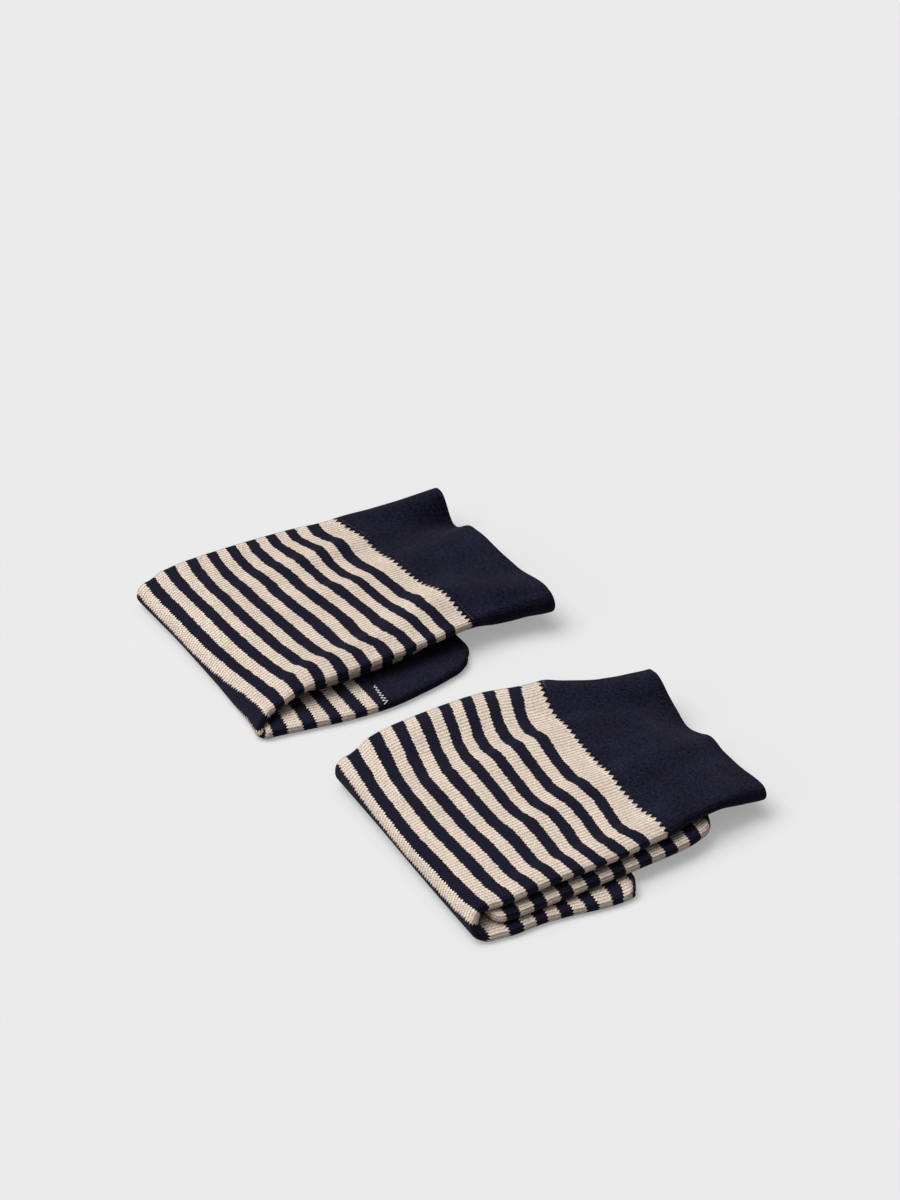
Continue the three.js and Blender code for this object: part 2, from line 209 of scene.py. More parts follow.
SOCK_1 = Sock(
    name="sock_1",
    middle_y=68.0,
    lead_y=100.0,
    fold_x=-62.5,
    crown=9.0,
    leg=Rows(
        LEG_COLUMNS,
        (-62.5, 9.0, 115.1, 27.0, 0.085, 0),
        (-54.0, 10.6, 116.0, 28.6, 0.12, 0),
        (-44.0, 11.8, 115.8, 28.8, 0.13, 0),
        (-20.0, 12.0, 114.6, 28.2, 0.16, 0),
        (0.0, 12.2, 112.4, 28.2, 0.19, 0),
        (18.6, 12.6, 108.2, 28.8, 0.19, 0),
    ),
    cuff=Rows(
        CUFF_COLUMNS,
        (19.1, 12.9, 108.0, 28.9, 0.19, 0, 2.3, 2.3),
        (30.0, 12.9, 105.5, 28.2, 0.16, 0, 2.5, 3.7),
        (42.0, 12.8, 103.5, 26.2, 0.12, 0, 2.7, 4.7),
        (55.2, 12.8, 102.4, 23.4, 0.09, 0, 2.9, 5.2),
    ),
    under=Rows(
        UNDER_COLUMNS,
        (-62.5, 113.8, 21.0, 0.07),
        (-50.0, 112.4, 18.6, 0.05),
        (-36.0, 109.4, 15.2, 0.05),
        (-18.7, 105.0, 13.6, 0.05),
    ),
    heel=Rows(
        HEEL_COLUMNS,
        (-18.4, 105.0, 13.6, 0.05, 1.9),
        (-6.0, 103.0, 14.6, 0.05, 1.9),
        (6.0, 99.5, 16.4, 0.05, 1.9),
        (14.0, 94.0, 18.8, 0.05, 1.9),
        (18.5, 87.5, 23.2, 0.05, 1.8),
        (20.2, 80.0, 28.5, 0.08, 1.65),
        (20.8, 73.0, 36.0, 0.06, 1.5),
    ),
    foot=Rows(
        FOOT_COLUMNS,
        (-46.0, 96.0, 46.0),
        (-43.0, 102.0, 36.0),
        (-37.0, 105.0, 31.5),
        (-10.0, 103.0, 30.6),
        (8.0, 100.0, 32.5),
        (14.0, 95.0, 38.0),
        (17.0, 88.0, 47.0),
    ),
    foot_base=4.1,
    foot_top=7.1,
    heel_border=-20.9,
    stripes=Rows(
        "x far near",
        (-55.7, -15.4, -15.4),
        (-49.6, -14.65, -14.75),
        (-40.5, -13.5, -13.75),
        (-32.8, -12.5, -12.75),
        (-24.1, -11.3, -11.75),
        (-14.1, -9.9, -10.75),
        (-11.5, -9.55, -10.1),
        (-9.5, -9.3, -9.55),
        (-6.4, -9.0, -9.25),
        (-3.4, -8.7, -9.0),
        (0.6, -8.3, -8.5),
        (8.2, -7.5, -7.5),
        (16.5, -6.5, -6.5),
        (25.3, -5.5, -5.5),
        (34.3, -4.5, -4.5),
        (43.3, -3.5, -3.5),
        (52.5, -2.5, -2.5),
        (61.3, -1.5, -1.5),
        (69.3, -0.5, -0.5),
        (73.9, 0.0, 0.0),
        (81.1, 0.8, 0.8),
    ),
    fold_slump=Rows(
        "x out",
        (0, 0.9),
        (0.3, 0.6),
        (0.5, 1.0),
        (0.65, 1.5),
        (0.8, 2.4),
        (0.9, 2.9),
        (0.96, 4.0),
        (1, 4.5),
    ),
    drift=Rows(
        DRIFT_COLUMNS,
        (0.02, 1.0, 3.4, 2.4, 0.8),
        (0.10, 0.3, 1.6, 0.4, -0.7),
        (0.18, 0.1, 0.5, 0.0, 1.4),
        (0.26, 0.2, 0.0, -0.2, 0.4),
        (0.34, 0.0, 0.0, 0.8, 0.0),
        (0.44, -0.4, -0.2, -0.2, -0.2),
        (0.50, -0.6, -0.2, -0.2, 0.5),
        (0.58, -0.7, -0.1, 1.0, 0.9),
        (0.66, -0.5, -0.1, 1.1, 0.7),
        (0.72, -0.3, -0.1, 0.8, 1.0),
        (0.80, 0.4, 0.6, -0.2, -0.1),
        (0.85, 0.8, 1.0, -1.0, 0.7),
        (0.91, 1.2, 2.2, 1.4, 0.9),
        (1.00, 1.3, 1.2, 1.0, 0.6),
    ),
    cuff_wave=Rows("x shift", (0, -1.0), (0.06, -1.0), (0.25, 0.6), (0.5, -0.2), (0.75, 0.1), (1, -0.6)),
    heel_wave=Rows("x shift", (0, 0), (1, 0)),
    foot_stripes=(-10.25, -35.9, 9.0),
    folds={
        "near_ridge": Rows(
            FOLD_COLUMNS,
            (-60, 34, 0, 6, 8),
            (-45, 37, 1.5, 6, 9),
            (-15, 40, 1.6, 7, 10),
            (20, 46, 3.4, 14, 14),
            (56, 31, 3.0, 18, 8),
        ),
        "middle_ridge": Rows(
            FOLD_COLUMNS,
            (-50, 76, 0, 7, 10),
            (-20, 74, 0.9, 7, 10),
            (0, 71, 1.4, 7, 10),
            (20, 74, 0.8, 8, 12),
            (56, 70, 0.8, 10, 12),
        ),
        "far_ridge": Rows(
            FOLD_COLUMNS,
            (-55, 88, 0, 8, 10),
            (-20, 92, 1.1, 7, 9),
            (5, 93, 1.5, 6, 8),
            (19, 94, 0.8, 6, 8),
            (34, 96, 0, 6, 8),
        ),
        "cuff_valley": Rows(
            FOLD_COLUMNS,
            (-12, 84, 0, 6, 8),
            (3, 84, -0.6, 6, 8),
            (20, 85, -1.0, 8, 12),
            (40, 87, -3.6, 9, 14),
            (54, 89, -6.8, 9, 12),
        ),
        "raised_edge": Rows(
            FOLD_COLUMNS,
            (-10, 108, 0, 12, 9),
            (19, 103, 1.2, 12, 10),
            (38, 101, 2.8, 12, 10),
            (54, 99, 4.0, 12, 9),
        ),
    },
)

SOCK_2 = Sock(
    name="sock_2",
    middle_y=-58.0,
    lead_y=-30.0,
    fold_x=-47.7,
    crown=12.0,
    leg=Rows(
        LEG_COLUMNS,
        (-47.7, 12.0, -10.4, -101.0, 0.04, 0),
        (-38.0, 12.8, -7.4, -102.8, 0.04, 1.5),
        (-20.0, 13.0, -6.7, -103.0, 0.035, 3.0),
        (5.0, 13.0, -7.6, -103.9, 0.035, 3.5),
        (25.1, 13.2, -13.2, -103.0, 0.03, 3.5),
    ),
    cuff=Rows(
        CUFF_COLUMNS,
        (25.7, 13.5, -13.3, -103.0, 0.03, 3.5, 2.3, 2.3),
        (37.0, 13.7, -18.2, -100.8, 0.035, 2.0, 2.4, 2.3),
        (50.0, 13.6, -24.3, -100.0, 0.05, 0.5, 2.6, 2.4),
        (59.0, 11.8, -26.5, -100.0, 0.06, 0, 2.8, 3.2),
        (68.2, 10.4, -28.3, -100.4, 0.06, 0, 2.9, 3.5),
    ),
    under=Rows(
        UNDER_COLUMNS,
        (-47.7, -11.0, -107.4, 0.04),
        (-38.0, -12.0, -108.8, 0.03),
        (-28.0, -12.6, -109.0, 0.03),
        (-20.0, -13.0, -110.2, 0.03),
        (2.0, -14.0, -114.0, 0.03),
    ),
    heel=Rows(
        HEEL_COLUMNS,
        (2.3, -14.0, -114.0, 0.03, 1.9),
        (5.0, -16.0, -113.6, 0.03, 1.9),
        (6.6, -20.0, -111.6, 0.03, 1.9),
        (7.8, -26.0, -105.0, 0.03, 1.8),
        (9.4, -36.0, -93.0, 0.03, 1.7),
        (13.4, -50.0, -72.0, 0.03, 1.5),
    ),
    foot=Rows(
        FOOT_COLUMNS,
        (-43.6, -24.0, -99.0),
        (-42.2, -17.0, -103.4),
        (-38.6, -13.0, -105.4),
        (-20.0, -12.0, -106.2),
        (10.0, -15.0, -106.4),
        (30.0, -18.0, -106.2),
        (39.0, -22.0, -105.0),
        (46.0, -28.0, -101.6),
        (49.5, -36.0, -95.0),
    ),
    foot_base=4.1,
    foot_top=8.3,
    heel_border=4.2,
    stripes=Rows(
        "x far near",
        (-70.8, -13.9, -13.9),
        (-65.2, -13.25, -13.25),
        (-56.2, -12.25, -12.25),
        (-47.1, -11.25, -11.25),
        (-38.1, -10.25, -10.25),
        (-28.6, -9.25, -9.25),
        (-25.5, -8.95, -9.0),
        (-19.0, -8.6, -8.6),
        (-8.4, -8.0, -8.0),
        (-3.7, -7.5, -7.5),
        (5.7, -6.5, -6.5),
        (14.7, -5.5, -5.5),
        (23.9, -4.5, -4.5),
        (33.1, -3.5, -3.5),
        (41.7, -2.5, -2.5),
        (50.6, -1.5, -1.5),
        (59.6, -0.5, -0.5),
        (64.0, 0.0, 0.0),
        (72.8, 0.95, 0.95),
    ),
    fold_slump=Rows("x out", (0, -1.3), (0.3, -1.0), (0.6, -0.2), (0.85, 0.2), (1, 0.3)),
    drift=Rows(
        DRIFT_COLUMNS,
        (0.02, 4.2, 3.9, 4.1, 3.5),
        (0.10, 3.3, 3.3, 3.3, 2.5),
        (0.16, 2.5, 3.1, 2.4, 1.4),
        (0.22, 1.5, 2.0, 0.9, 0.5),
        (0.27, 1.0, 1.0, 0.1, 0.0),
        (0.32, 0.6, -0.4, 0.1, 1.0),
        (0.38, 0.1, -0.6, 0.2, 0.4),
        (0.46, -0.4, -0.2, 0.0, -0.4),
        (0.56, -0.7, -0.4, -0.8, -0.6),
        (0.64, -0.4, -0.4, -0.5, 0.5),
        (0.70, -0.2, 0.2, 1.2, 1.5),
        (0.76, -0.2, 0.5, 1.4, 0.6),
        (0.84, 0.1, 0.4, 0.4, -0.7),
        (0.90, 0.3, 0.5, -0.2, -1.0),
        (0.94, 0.9, 1.5, 0.5, 1.3),
        (1.00, 1.9, 2.5, 2.7, 2.7),
    ),
    cuff_wave=Rows("x shift", (0, 1.4), (0.06, 1.2), (0.25, 0.4), (0.5, -0.3), (0.75, -1.0), (1, 0.4)),
    heel_wave=Rows(
        "x shift",
        (0, 0),
        (0.72, 0),
        (0.8, 2),
        (0.88, 3.6),
        (0.94, 3.4),
        (0.975, 1.6),
        (1, 0.6),
    ),
    foot_stripes=(-10.25, -35.9, 10.55),
    folds={
        "far_ridge": Rows(
            FOLD_COLUMNS,
            (-50, -14, 0, 14, 12),
            (-30, -13, 2.2, 14, 14),
            (0, -14, 2.8, 14, 14),
            (26, -19, 2.8, 14, 14),
            (48, -29, 3.2, 12, 13),
            (68, -33, 6.8, 12, 13),
        ),
        "second_ridge": Rows(
            FOLD_COLUMNS,
            (-48, -42, 0, 8, 14),
            (-20, -40, 1.0, 6, 14),
            (5, -39, 1.5, 6, 14),
            (26, -38, 1.2, 6, 14),
            (46, -42, 0, 8, 14),
        ),
        "third_ridge": Rows(
            FOLD_COLUMNS,
            (-45, -76, 0, 8, 12),
            (-5, -72, 1.0, 8, 10),
            (18, -68, 1.5, 8, 10),
            (45, -68, 1.4, 8, 9),
            (68, -68, 1.4, 7, 7),
        ),
        "near_ridge": Rows(
            FOLD_COLUMNS,
            (-46, -97, 0, 6, 9),
            (-20, -97, 1.0, 6, 9),
            (20, -96, 1.4, 7, 9),
            (45, -94, 0.6, 12, 10),
            (68, -96, 1.6, 14, 10),
        ),
        "cuff_valley": Rows(
            FOLD_COLUMNS,
            (50, -51, 0, 10, 14),
            (60, -52, -2.4, 10, 14),
            (68, -53, -4.2, 10, 14),
        ),
    },
)


class KnitSettings(PropertyGroup):
    """Sizes and colours of the knit."""

    needles: IntProperty(
        name="Needles",
        description="Knitted columns, called wales, round the leg",
        default=144,
        min=60,
        max=200,
    )
    courses: IntProperty(
        name="Courses a pair",
        description="Knitted rows in one cream and one navy stripe together",
        default=10,
    )
    rib_depth: FloatProperty(
        name="Rib depth",
        description="How deep the grooves between the wales are",
        default=0.00036,
        unit="LENGTH",
    )
    leg_cloth: FloatProperty(
        name="Leg cloth",
        description="Thickness of the striped knit",
        default=0.0011,
        unit="LENGTH",
    )
    cuff_cloth: FloatProperty(
        name="Cuff cloth",
        description="Thickness of the doubled knit of the cuffs",
        default=0.0018,
        unit="LENGTH",
    )
    cream: FloatVectorProperty(
        name="Cream",
        description="Colour of the pale stripes",
        default=(0.85, 0.71, 0.59),
        subtype="COLOR",
        min=0,
        max=1,
    )
    thread: FloatVectorProperty(
        name="Thread",
        description="Colour of the thread where a heel starts",
        default=(0.9, 0.88, 0.86),
        subtype="COLOR",
        min=0,
        max=1,
    )
    navy: FloatVectorProperty(
        name="Navy",
        description="Colour of the dark stripes, the cuffs, the heels and the toes",
        default=(0.0108, 0.01, 0.0262),
        subtype="COLOR",
        min=0,
        max=1,
    )


class StageSettings(PropertyGroup):
    """The table top, the light and the camera."""

    floor: FloatVectorProperty(
        name="Floor",
        description="Colour of the table top",
        default=(0.43, 0.43, 0.43),
        subtype="COLOR",
        min=0,
        max=1,
    )
    floor_glow: FloatProperty(
        name="Floor glow",
        description="Light of the table top's own, which keeps its shadows pale",
        default=0.313,
    )
    floor_side: FloatProperty(
        name="Floor side",
        description="Side of the square table top",
        default=12.0,
        unit="LENGTH",
    )
    sky_strength: FloatProperty(
        name="Sky strength",
        description="Strength of the even light from all round",
        default=0.17,
    )
    key_strength: FloatProperty(
        name="Key strength",
        description="Strength of the large soft light from the far left",
        default=2.5,
    )
    top_strength: FloatProperty(
        name="Top strength",
        description="Strength of the broad light from above",
        default=0.9,
    )
    side_strength: FloatProperty(
        name="Side strength",
        description="Strength of the low light from the left",
        default=0.7,
    )
    backdrop: FloatProperty(
        name="Backdrop",
        description="Brightness seen past the table top",
        default=0.83,
    )
    key_spread: FloatProperty(
        name="Key spread",
        description="Angle that the soft light covers",
        default=math.radians(45),
        subtype="ANGLE",
    )
    azimuth: FloatProperty(
        name="Azimuth",
        description="Turn of the camera round the pair",
        default=math.radians(-30),
        subtype="ANGLE",
    )
    elevation: FloatProperty(
        name="Elevation",
        description="Height of the camera above the horizon",
        default=math.radians(40),
        subtype="ANGLE",
    )
    distance: FloatProperty(
        name="Distance",
        description="From the camera to the point that it looks at",
        default=1.4,
        unit="LENGTH",
    )
    lens: FloatProperty(
        name="Lens",
        description="Focal length in millimetres",
        default=111.36,
        unit="CAMERA",
    )


def smooth(t):
    s = np.clip(t, 0, 1)
    return s * s * (3 - 2 * s)


def relief(folds, x, y):
    """Height of the soft folds at each place."""
    total = 0.0
    for line in folds.values():
        away = y - line.read("y", x)
        reach = np.where(away > 0, line.read("far_reach", x), line.read("near_reach", x))
        share = np.minimum(1, np.abs(away) / reach)
        total = total + line.read("height", x) * np.cos(math.pi / 2 * share) ** 2
    return total


class Run:
    """Rows of a flattened tube. Each value is one number for each row, or one for them all.
    Edges left out are as thick as the middle, and anything else left out is zero. share says
    how much of the soft folds' height a row has."""

    KEYS = ("x", "z", "angle", "far", "near", "slant", "lead", "half", "far_half", "near_half", "share")

    def __init__(self, count, half, **values):
        thickness = {"half": half, "far_half": half, "near_half": half}
        values = {**dict.fromkeys(self.KEYS, 0), **thickness, **values}
        for key in self.KEYS:
            value = np.broadcast_to(np.asarray(values[key], float), (count,))
            setattr(self, key, value.reshape(count, 1))
        self.count = count

    @staticmethod
    def join(*runs):
        values = {key: np.concatenate([getattr(r, key)[:, 0] for r in runs]) for key in Run.KEYS}
        return Run(sum(r.count for r in runs), **values)


def half_at(run, y):
    """Half the thickness, where a cuff opens a little at its edges."""
    width = run.far - run.near
    near_share = smooth(1 - (y - run.near) / (NEAR_FLARE * width))
    far_share = smooth(1 - (run.far - y) / (FAR_FLARE * width))
    return run.half + (run.near_half - run.half) * near_share + (run.far_half - run.half) * far_share


def tube(sock, run, wale, wales, out):
    """Places on a flattened tube. wale counts the columns from the middle of the far edge over
    the upper face to the near edge and back below. out is how far a place stands outside the
    face that the run gives."""
    half_round = wales / 2
    side = np.where(wale > half_round, -1.0, 1.0)
    along = np.where(wale > half_round, wales - wale, wale) / half_round
    far_roll = math.pi / 2 * run.far_half
    near_roll = math.pi / 2 * run.near_half
    start = run.far - run.far_half
    end = run.near + run.near_half
    girth = far_roll + near_roll + start - end
    walked = along * girth
    on_far = walked < far_roll
    on_near = walked > girth - near_roll
    flat_y = start - (walked - far_roll)
    base = np.where(on_far, start, np.where(on_near, end, flat_y))
    far_turn = walked / np.maximum(run.far_half, THINNEST)
    near_turn = (girth - walked) / np.maximum(run.near_half, THINNEST)
    turn = np.where(on_far, far_turn, np.where(on_near, near_turn, math.pi / 2))
    reach = np.where(on_far, run.far_half + out, np.where(on_near, -run.near_half - out, 0))
    y = base + reach * np.cos(turn)
    full = half_at(run, base)
    lift = relief(sock.folds, run.x, base) * run.share
    away = side * np.sin(turn) * (full + out) - (full - run.half) + lift
    ahead = np.maximum(0, (base - sock.lead_y) / (run.far - sock.lead_y))
    lean = -run.slant * (base - sock.middle_y) + run.lead * ahead**2
    x = run.x + lean - np.sin(run.angle) * away
    z = run.z + np.cos(run.angle) * away
    return np.stack((x, y, z), axis=-1)


def below_side(sock, name, x):
    """A column of the lower run, which the heel takes over past the end of the leg."""
    return np.where(x <= sock.under.ends()[1], sock.under.read(name, x), sock.heel.read(name, x))


def leg_run(sock, upper_rows, turn_rows, lower_rows):
    """Rows of the leg from the cuff round the fold to the heel, and how far along each is."""
    start = sock.leg.ends()[1]
    x = np.linspace(start, sock.fold_x, upper_rows)
    x = np.concatenate(([start + LEG_TUCK], x))
    far = sock.leg.read("far", x)
    near = sock.leg.read("near", x)
    far[0] -= TUCKED_FAR
    near[0] += TUCKED_NEAR
    upper = Run(
        len(x),
        x=x,
        z=sock.leg.read("top", x) - LEG_HALF,
        far=far,
        near=near,
        slant=sock.leg.read("slant", x),
        lead=sock.leg.read("lead", x),
        half=LEG_HALF,
        share=smooth((x - sock.fold_x) / FOLDS_RISE),
    )
    walked = x - sock.fold_x
    share = np.linspace(0, 1, turn_rows + 1)[1:]
    angle = math.pi * share
    radius = sock.crown / 2 - LEG_HALF

    def mixed(name):
        first = sock.leg.read(name, sock.fold_x)
        return first + (sock.under.read(name, sock.fold_x) - first) * share

    turned = Run(
        turn_rows,
        x=sock.fold_x - radius * np.sin(angle),
        z=sock.crown / 2 + radius * np.cos(angle),
        angle=angle,
        far=mixed("far"),
        near=mixed("near"),
        slant=mixed("slant"),
        half=LEG_HALF,
    )
    below = np.linspace(sock.fold_x, sock.heel_border, lower_rows + 1)[1:]
    lower = Run(
        lower_rows,
        x=below,
        z=LEG_HALF,
        angle=math.pi,
        far=below_side(sock, "far", below),
        near=below_side(sock, "near", below),
        slant=below_side(sock, "slant", below),
        half=LEG_HALF,
    )
    round_fold = -angle * sock.crown / 2
    beyond = -math.pi * sock.crown / 2 - (below - sock.fold_x)
    return Run.join(upper, turned, lower), np.concatenate((walked, round_fold, beyond))


def rib_grooves(wale, depth):
    return -depth * (1 - np.cos(2 * math.pi * wale)) / 2


def columns(wales, samples):
    return np.arange(wales * samples).reshape(1, -1) / samples


class Cloth:
    """Collects the faces of one piece, with a wale and a course at each corner."""

    def __init__(self):
        self.places = []
        self.faces = []
        self.marks = []
        self.count = 0

    def grid(self, places, wales, courses, wrap_rows=False):
        """A sheet of rows that are each closed round the tube."""
        rows, cols = places.shape[:2]
        index = self.count + np.arange(rows * cols).reshape(rows, cols)
        mark = np.empty((rows, cols + 1, 2))
        mark[..., 0] = np.append(wales, wales[0, -1] + wales[0, 1])
        mark[:, :cols, 1] = courses
        mark[:, cols, 1] = mark[:, 0, 1]
        index = np.concatenate((index, index[:, :1]), axis=1)
        if wrap_rows:
            index = np.concatenate((index, index[:1]))
            mark = np.concatenate((mark, mark[:1]))
        corners = ((0, 0), (1, 0), (1, 1), (0, 1))
        high, wide = np.array(index.shape) - 1
        face = np.stack([index[r : r + high, c : c + wide] for r, c in corners], axis=-1)
        marks = np.stack([mark[r : r + high, c : c + wide] for r, c in corners], axis=-2)
        self.places.append(places.reshape(-1, 3))
        self.faces.append(face.reshape(-1, 4))
        self.marks.append(marks.reshape(-1, 4, 2))
        self.count += rows * cols

    def build(self, name, material):
        places = (np.concatenate(self.places) - MIDDLE) * MM
        faces = np.concatenate(self.faces)
        marks = np.concatenate(self.marks)
        a, b, c, d = (places[faces[:, i]] for i in range(4))
        volume = np.sum(np.cross(c - a, d - b) * (a + b + c + d)) / 24
        if volume < 0:
            faces = faces[:, ::-1]
            marks = marks[:, ::-1]
        mesh = bpy.data.meshes.new(name)
        mesh.from_pydata(places.tolist(), [], faces.tolist())
        layer = mesh.uv_layers.new(name=UV_NAME)
        layer.data.foreach_set("uv", marks.reshape(-1))
        mesh.polygons.foreach_set("use_smooth", np.ones(len(faces), bool))
        mesh.materials.append(material)
        mesh.update()
        return add_object(name, mesh)


def weld(piece, reach=2e-6):
    """Joins the corners that fall together where a tube closes."""
    work = bmesh.new()
    work.from_mesh(piece.data)
    bmesh.ops.remove_doubles(work, verts=work.verts, dist=reach)
    bmesh.ops.dissolve_degenerate(work, edges=work.edges, dist=reach / 4)
    work.to_mesh(piece.data)
    work.free()


def add_object(name, data):
    made = bpy.data.objects.new(name, data)
    bpy.context.scene.collection.objects.link(made)
    return made


def new_material(name):
    material = bpy.data.materials.new(name)
    material.use_nodes = True
    shader = next(n for n in material.node_tree.nodes if n.type == "BSDF_PRINCIPLED")
    return material, shader


def socket_value(node, name, value):
    node.inputs[name].default_value = value


class Graph:
    """Short words for building a node tree."""

    def __init__(self, tree):
        self.tree = tree

    def node(self, kind, **settings):
        made = self.tree.nodes.new(kind)
        for key, value in settings.items():
            setattr(made, key, value)
        return made

    def link(self, source, target):
        self.tree.links.new(source, target)

    def math(self, operation, a, b=None, c=None):
        made = self.node("ShaderNodeMath", operation=operation)
        for socket, value in zip(made.inputs, (a, b, c)):
            if value is None:
                continue
            if isinstance(value, (int, float)):
                socket.default_value = value
            else:
                self.link(value, socket)
        return made.outputs[0]

    def mix(self, factor, a, b):
        made = self.node("ShaderNodeMix", data_type="RGBA")
        for socket, value in ((made.inputs[0], factor), (made.inputs[6], a), (made.inputs[7], b)):
            if isinstance(value, (int, float, tuple)):
                socket.default_value = value
            else:
                self.link(value, socket)
        return made.outputs[2]


def new_group(name, inputs, outputs):
    tree = bpy.data.node_groups.new(name, "ShaderNodeTree")
    for label, kind, value in inputs:
        made = tree.interface.new_socket(label, in_out="INPUT", socket_type=kind)
        if value is not None:
            made.default_value = value
    for label, kind in outputs:
        tree.interface.new_socket(label, in_out="OUTPUT", socket_type=kind)
    graph = Graph(tree)
    return graph, graph.node("NodeGroupInput"), graph.node("NodeGroupOutput")


def stitch_group():
    """Plain knit: the height of its stitches, and the course that each point belongs to."""
    graph, given, made = new_group(
        "Knit stitches",
        [
            ("Wale", "NodeSocketFloat", 0.0),
            ("Course", "NodeSocketFloat", 0.0),
            ("Stitch depth", "NodeSocketFloat", 0.5),
            ("Raggedness", "NodeSocketFloat", 0.4),
        ],
        [("Height", "NodeSocketFloat"), ("Course", "NodeSocketFloat")],
    )
    stitch_slant = 1.4
    block_courses = 2.5
    wale = given.outputs["Wale"]
    across = graph.math("ABSOLUTE", graph.math("SUBTRACT", graph.math("FRACT", wale), 0.5))
    slanted = graph.math("MULTIPLY_ADD", across, stitch_slant, given.outputs["Course"])
    block = graph.math("ADD", graph.math("DIVIDE", given.outputs["Course"], block_courses), 0.5)
    stitch = graph.node("ShaderNodeCombineXYZ")
    graph.link(graph.math("FLOOR", wale), stitch.inputs[0])
    graph.link(graph.math("FLOOR", block), stitch.inputs[1])
    chance = graph.node("ShaderNodeTexWhiteNoise", noise_dimensions="2D")
    graph.link(stitch.outputs[0], chance.inputs["Vector"])
    uneven = graph.math("SUBTRACT", chance.outputs["Value"], 0.5)
    chevron = graph.math("MULTIPLY_ADD", uneven, given.outputs["Raggedness"], slanted)
    within = graph.math("SUBTRACT", graph.math("FRACT", chevron), 0.5)
    loop = graph.math("MULTIPLY", graph.math("MULTIPLY", within, within), 4)
    valley = graph.math("MULTIPLY", graph.math("MULTIPLY", across, across), 4)
    low = graph.math("MULTIPLY_ADD", loop, given.outputs["Stitch depth"], valley)
    height = graph.math("SUBTRACT", 1, low)
    graph.link(height, made.inputs["Height"])
    graph.link(graph.math("FLOOR", chevron), made.inputs["Course"])
    return graph.tree


def yarn_and_shade_group():
    """Yarn that is a little uneven, with paler fibres, and painted shade that darkens the hollows
    between stitches.
    """
    graph, given, made = new_group(
        "Uneven yarn and painted hollow shade",
        [
            ("Color", "NodeSocketColor", (0.5, 0.5, 0.5, 1)),
            ("Wale", "NodeSocketFloat", 0.0),
            ("Course", "NodeSocketFloat", 0.0),
            ("Height", "NodeSocketFloat", 1.0),
            ("Unevenness", "NodeSocketFloat", 0.2),
            ("Painted hollow shade", "NodeSocketFloat", 0.4),
        ],
        [("Color", "NodeSocketColor")],
    )
    wale_width = 1.2
    course_height = 0.9
    patch_share = 0.35
    middle = 0.5 + 0.5 * patch_share
    place = graph.node("ShaderNodeCombineXYZ")
    graph.link(graph.math("MULTIPLY", given.outputs["Wale"], wale_width), place.inputs[0])
    graph.link(graph.math("MULTIPLY", given.outputs["Course"], course_height), place.inputs[1])
    fibre = graph.node("ShaderNodeTexNoise")
    socket_value(fibre, "Scale", 0.9)
    socket_value(fibre, "Detail", 3.0)
    graph.link(place.outputs[0], fibre.inputs["Vector"])
    patch = graph.node("ShaderNodeTexNoise")
    socket_value(patch, "Scale", 0.09)
    socket_value(patch, "Detail", 2.0)
    graph.link(place.outputs[0], patch.inputs["Vector"])
    both = graph.math("MULTIPLY_ADD", patch.outputs["Fac"], patch_share, fibre.outputs["Fac"])
    apart = graph.math("SUBTRACT", both, middle)
    spread = graph.math("MULTIPLY", apart, given.outputs["Unevenness"])
    # Painted shade: the deeper a point lies between the stitches, the darker its colour.
    hollow = graph.math("SUBTRACT", 1.0, given.outputs["Height"])
    dark = graph.math("MULTIPLY", graph.math("MULTIPLY", hollow, given.outputs["Painted hollow shade"]), -1)
    shade = graph.math("ADD", graph.math("ADD", spread, dark), 1.0)
    bright = graph.node("ShaderNodeVectorMath", operation="SCALE")
    graph.link(given.outputs["Color"], bright.inputs[0])
    graph.link(shade, bright.inputs["Scale"])
    graph.link(bright.outputs[0], made.inputs["Color"])
    return graph.tree


def knit_material(name, stripes, settings):
    material, shader = new_material(name)
    graph = Graph(material.node_tree)
    socket_value(shader, "Roughness", 0.92)
    socket_value(shader, "Sheen Weight", 0.05)
    socket_value(shader, "Sheen Roughness", 0.5)
    socket_value(shader, "Specular IOR Level", 0.05)
    mapped = graph.node("ShaderNodeUVMap", uv_map=UV_NAME)
    parts = graph.node("ShaderNodeSeparateXYZ")
    graph.link(mapped.outputs[0], parts.inputs[0])
    wale = parts.outputs[0]
    course = graph.math("MULTIPLY", parts.outputs[1], float(settings.courses))
    stitches = graph.node("ShaderNodeGroup", node_tree=bpy.data.node_groups["Knit stitches"])
    graph.link(wale, stitches.inputs["Wale"])
    graph.link(course, stitches.inputs["Course"])
    yarn = graph.node("ShaderNodeGroup", node_tree=bpy.data.node_groups["Uneven yarn and painted hollow shade"])
    navy = (*settings.navy, 1)
    if stripes:
        middle = graph.math("ADD", stitches.outputs["Course"], 0.5)
        pair = graph.math("DIVIDE", middle, float(settings.courses))
        second = graph.math("GREATER_THAN", graph.math("FRACT", pair), 0.5)
        dark = graph.math("MULTIPLY", second, graph.math("LESS_THAN", pair, 0.0))
        graph.link(graph.mix(dark, (*settings.cream, 1), navy), yarn.inputs["Color"])
    else:
        socket_value(yarn, "Color", navy)
    graph.link(wale, yarn.inputs["Wale"])
    graph.link(course, yarn.inputs["Course"])
    graph.link(stitches.outputs["Height"], yarn.inputs["Height"])
    socket_value(yarn, "Unevenness", 0.6 if stripes else 2.8)
    # Strength of the painted shade in the hollows between stitches.
    socket_value(yarn, "Painted hollow shade", 0.5)
    graph.link(yarn.outputs["Color"], shader.inputs["Base Color"])
    bump = graph.node("ShaderNodeBump")
    socket_value(bump, "Strength", 0.8)
    socket_value(bump, "Distance", 0.0004)
    graph.link(stitches.outputs["Height"], bump.inputs["Height"])
    graph.link(bump.outputs[0], shader.inputs["Normal"])
    return material


def thread_material(settings):
    material, shader = new_material("Pale thread")
    socket_value(shader, "Base Color", (*settings.thread, 1))
    socket_value(shader, "Roughness", 0.7)
    return material


